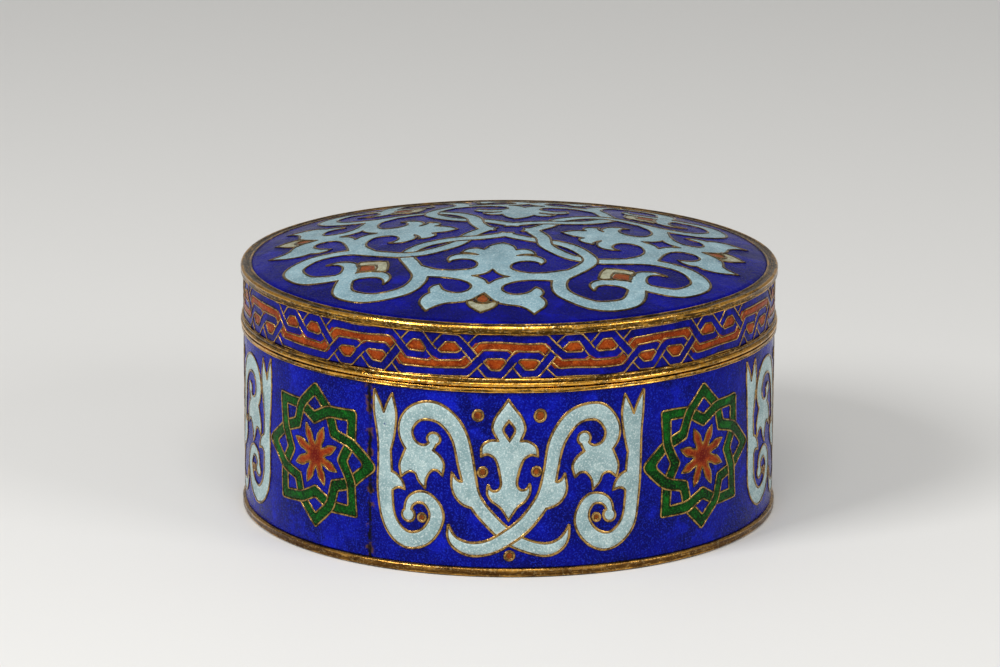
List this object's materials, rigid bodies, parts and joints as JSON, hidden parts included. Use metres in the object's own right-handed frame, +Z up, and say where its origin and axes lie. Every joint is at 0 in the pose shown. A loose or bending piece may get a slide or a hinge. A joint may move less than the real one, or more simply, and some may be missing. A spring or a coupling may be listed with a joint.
{
  "type": "round lidded box",
  "caption": "Round metal box in cloisonne enamel: a drum with a foot rim, a collar in its mouth and a shallow domed lid that lifts off.",
  "frame": {"origin": "middle of the foot's underside, on the surface that the box stands on", "axes": "+Z up along the box's axis, -Y towards the front panel of the picture, +X to its right"},
  "size_m": [0.08, 0.08, 0.042],
  "materials": {
    "gilt": "gilt, worn, satin on flats and bright on beads",
    "copper": null,
    "cobalt_enamel": "deep cobalt blue glass enamel, polished, slightly granular",
    "turquoise_enamel": "pale turquoise glass enamel, polished",
    "green_enamel": "green glass enamel, polished",
    "amber_enamel": "amber to orange glass enamel, polished",
    "terracotta_enamel": "orange red glass enamel, polished",
    "counter_enamel": "plain blue counter enamel"
  },
  "bodies": {
    "drum": {"foot_rim": "gilt", "floor_plate": "copper", "body_wall": "copper", "body_ground_enamel": "cobalt_enamel", "body_top_rim": "gilt", "collar": "gilt", "inner_counter_enamel": "counter_enamel", "base_counter_enamel": "counter_enamel", "rosette_straps_1": "green_enamel", "rosette_wires_1": "gilt", "rosette_star_1": "amber_enamel", "rosette_straps_2": "green_enamel", "rosette_wires_2": "gilt", "rosette_star_2": "amber_enamel", "rosette_straps_3": "green_enamel", "rosette_wires_3": "gilt", "rosette_star_3": "amber_enamel", "rosette_straps_4": "green_enamel", "rosette_wires_4": "gilt", "rosette_star_4": "amber_enamel"},
    "lid": {"lid_wall": "copper", "lid_lower_rim": "gilt", "band_ground_enamel": "terracotta_enamel", "band_strapwork": "cobalt_enamel", "lid_top_rim": "gilt", "dome_ground_enamel": "cobalt_enamel", "dome_plate": "copper", "dome_counter_enamel": "counter_enamel", "dome_scroll": "turquoise_enamel", "dome_bud_1": "amber_enamel", "dome_heart_1": "amber_enamel", "dome_bud_2": "amber_enamel", "dome_heart_2": "amber_enamel", "dome_bud_3": "amber_enamel", "dome_heart_3": "amber_enamel", "dome_bud_4": "amber_enamel", "dome_heart_4": "amber_enamel"}
  },
  "joints": [
    {"name": "lid_lift", "type": "slide", "parent": "drum", "child": "lid", "axis": [0, 0, 1], "range_m": [0, 0.04]}
  ]
}
